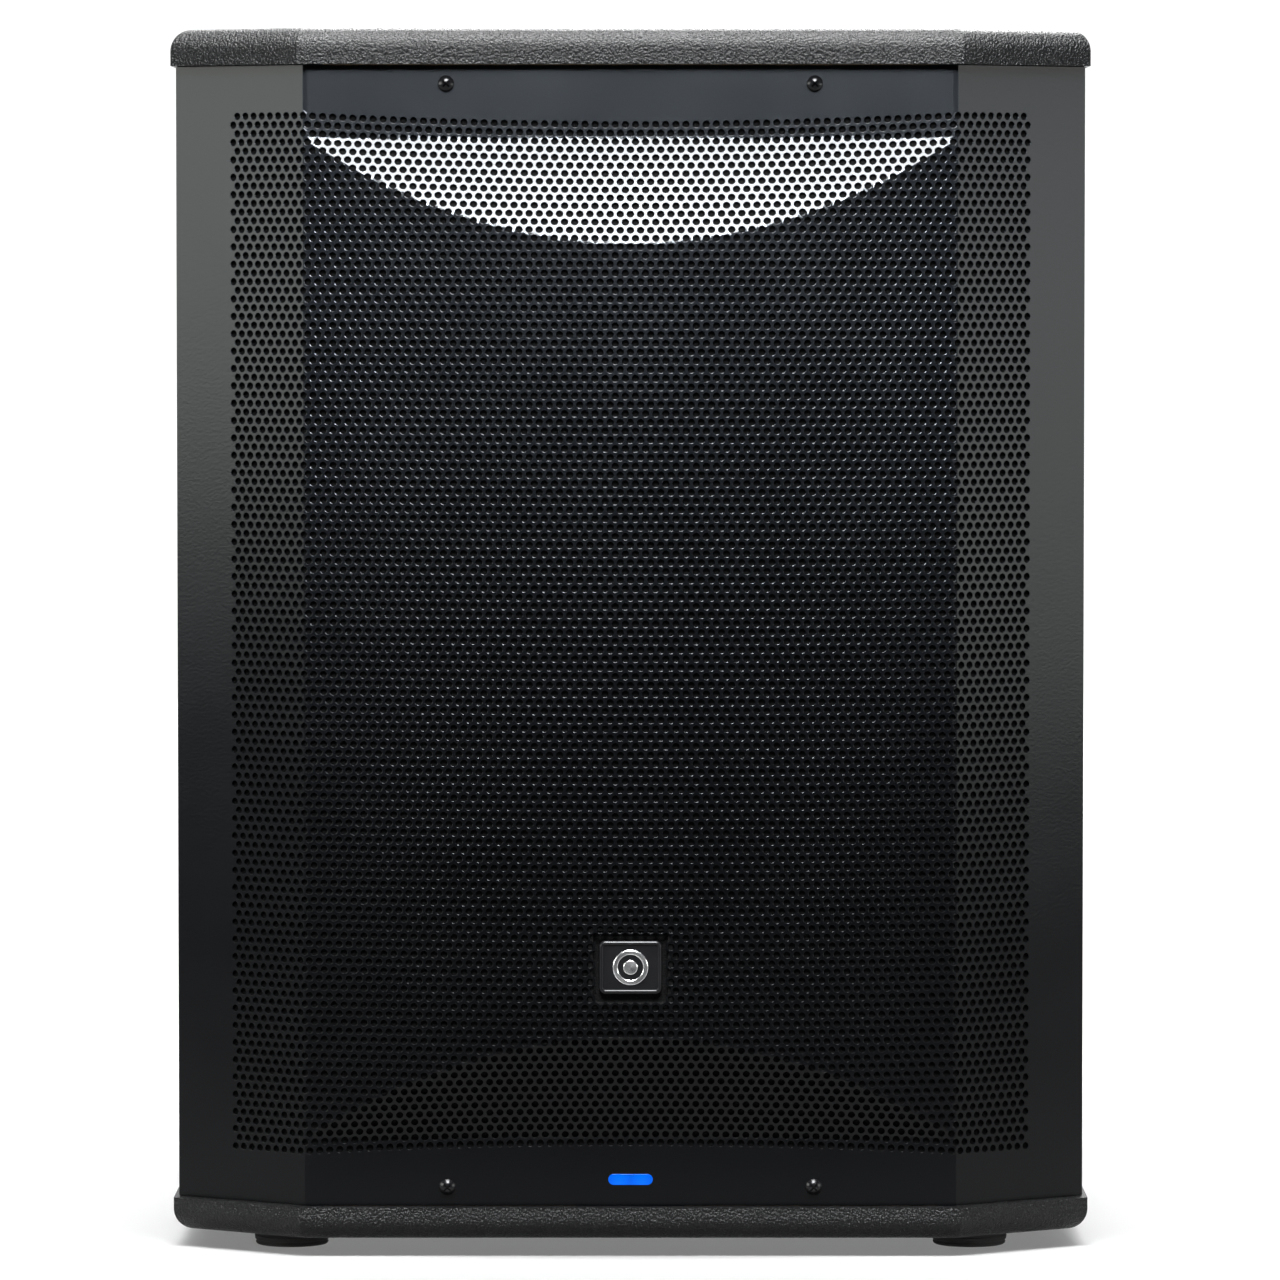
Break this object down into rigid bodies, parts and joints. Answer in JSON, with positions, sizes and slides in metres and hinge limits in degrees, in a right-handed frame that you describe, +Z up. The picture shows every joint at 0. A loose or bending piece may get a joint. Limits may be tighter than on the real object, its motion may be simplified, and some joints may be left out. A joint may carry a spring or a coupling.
{
  "type": "loudspeaker cabinet",
  "caption": "Active bass loudspeaker cabinet: bowed perforated steel grille, rounded plates, side handles, feet, pole socket and rear amplifier.",
  "frame": {"origin": "centre of the footprint on the floor, level with the underside of the rubber feet", "axes": "+Z up, -Y out of the grille (front), +X to the cabinet's left-hand side seen from behind (right in a front view)"},
  "size_m": [0.507, 0.6, 0.672],
  "materials": {
    "textured_paint": "plywood under textured black paint",
    "grille_steel": "satin black powder coat",
    "plywood": "bare birch plywood",
    "foam": "open black foam",
    "lining": "grey fibre pad",
    "black_rubber": "matte black",
    "black_plastic": "fine-grained black",
    "silver_trim": "brushed silver",
    "blue_light": "lit blue lens",
    "status_light": "clear dome",
    "circuit_board": "green solder mask",
    "black_zinc": "black zinc",
    "bright_steel": "bright zinc",
    "cast_alloy": "black-coated casting",
    "panel_alloy": "black coated sheet",
    "paper": "black coated pulp",
    "spider_cloth": "resin-dipped cotton",
    "copper_coil": "enamelled copper on a film former",
    "ferrite": "sintered grey",
    "wound_core": "taped windings",
    "capacitor_can": "sleeved cans",
    "contact_metal": "plated contacts",
    "lead_sheath": "flexible sheath"
  },
  "bodies": {
    "cabinet": {"top_plate": "textured_paint", "bottom_plate": "textured_paint", "side_panel_right": "textured_paint", "side_panel_left": "textured_paint", "back_panel": "textured_paint", "grille": "grille_steel", "rubber_feet": "black_rubber", "pole_mount": "black_zinc", "handle_cup_right": "black_plastic", "handle_cup_left": "black_plastic", "handle_grips": "black_plastic", "amp_panel": "panel_alloy", "heat_sink": "cast_alloy", "input_sockets": "black_plastic", "output_sockets": "black_plastic", "power_entry": "black_plastic", "badge_plate": "black_plastic", "badge_emblem": "silver_trim", "led_lens": "blue_light", "status_lights": "status_light", "pan_head_screws": "black_zinc", "countersunk_screws": "black_zinc", "socket_screws": "bright_steel", "foot_screws": "bright_steel", "front_baffle": "plywood", "port_shelf": "plywood", "port_dividers": "plywood", "window_brace": "plywood", "grille_cleats": "plywood", "grille_foam": "foam", "led_board": "circuit_board", "woofer_frame": "cast_alloy", "woofer_gasket": "black_rubber", "woofer_bolts": "black_zinc", "woofer_surround": "black_rubber", "woofer_spider": "spider_cloth", "woofer_terminals": "black_plastic", "woofer_top_plate": "bright_steel", "woofer_magnet": "ferrite", "woofer_yoke": "bright_steel", "amp_tray": "bright_steel", "amp_board": "circuit_board", "toroid_transformer": "wound_core", "filter_capacitors": "capacitor_can", "control_board": "circuit_board", "speaker_leads": "lead_sheath", "damping_lining": "lining", "amp_gasket": "black_rubber", "inlet_pins": "contact_metal"},
    "cone_assembly": {"woofer_cone": "paper", "dust_cap": "paper", "voice_coil": "copper_coil"},
    "level_control": {"level_knob": "black_plastic"},
    "crossover_control": {"crossover_knob": "black_plastic"},
    "polarity_switch": {"polarity_button": "black_plastic"},
    "ground_lift_switch": {"ground_lift_button": "black_plastic"},
    "latch_a": {"input_latch_a": "black_plastic"},
    "latch_b": {"input_latch_b": "black_plastic"},
    "fuse_tray": {"fuse_drawer": "black_plastic"},
    "mains_rocker": {"power_rocker": "black_plastic"}
  },
  "joints": [
    {"name": "cone_stroke", "type": "slide", "parent": "cabinet", "child": "cone_assembly", "axis": [0, -1, 0], "range_m": [-0.008, 0.008], "stiffness_N_per_m": 6000, "deforming": ["woofer_surround", "woofer_spider"]},
    {"name": "level_turn", "type": "hinge", "parent": "cabinet", "child": "level_control", "pos_m": [0.09, 0.2845, 0.372], "axis": [0, 1, 0], "range_deg": [-150, 150]},
    {"name": "crossover_turn", "type": "hinge", "parent": "cabinet", "child": "crossover_control", "pos_m": [0.054, 0.2845, 0.372], "axis": [0, 1, 0], "range_deg": [-150, 150]},
    {"name": "polarity_press", "type": "slide", "parent": "cabinet", "child": "polarity_switch", "axis": [0, -1, 0], "range_m": [0, 0.002], "stiffness_N_per_m": 500},
    {"name": "ground_lift_press", "type": "slide", "parent": "cabinet", "child": "ground_lift_switch", "axis": [0, -1, 0], "range_m": [0, 0.002], "stiffness_N_per_m": 500},
    {"name": "latch_a_press", "type": "slide", "parent": "cabinet", "child": "latch_a", "axis": [0, 0, -1], "range_m": [0, 0.0018], "stiffness_N_per_m": 400},
    {"name": "latch_b_press", "type": "slide", "parent": "cabinet", "child": "latch_b", "axis": [0, 0, -1], "range_m": [0, 0.0018], "stiffness_N_per_m": 400},
    {"name": "fuse_tray_pull", "type": "slide", "parent": "cabinet", "child": "fuse_tray", "axis": [0, 1, 0], "range_m": [0, 0.018]},
    {"name": "mains_rocker_tilt", "type": "hinge", "parent": "cabinet", "child": "mains_rocker", "pos_m": [-0.085, 0.2845, 0.391], "axis": [0, 0, 1], "range_deg": [-18, 0]}
  ]
}
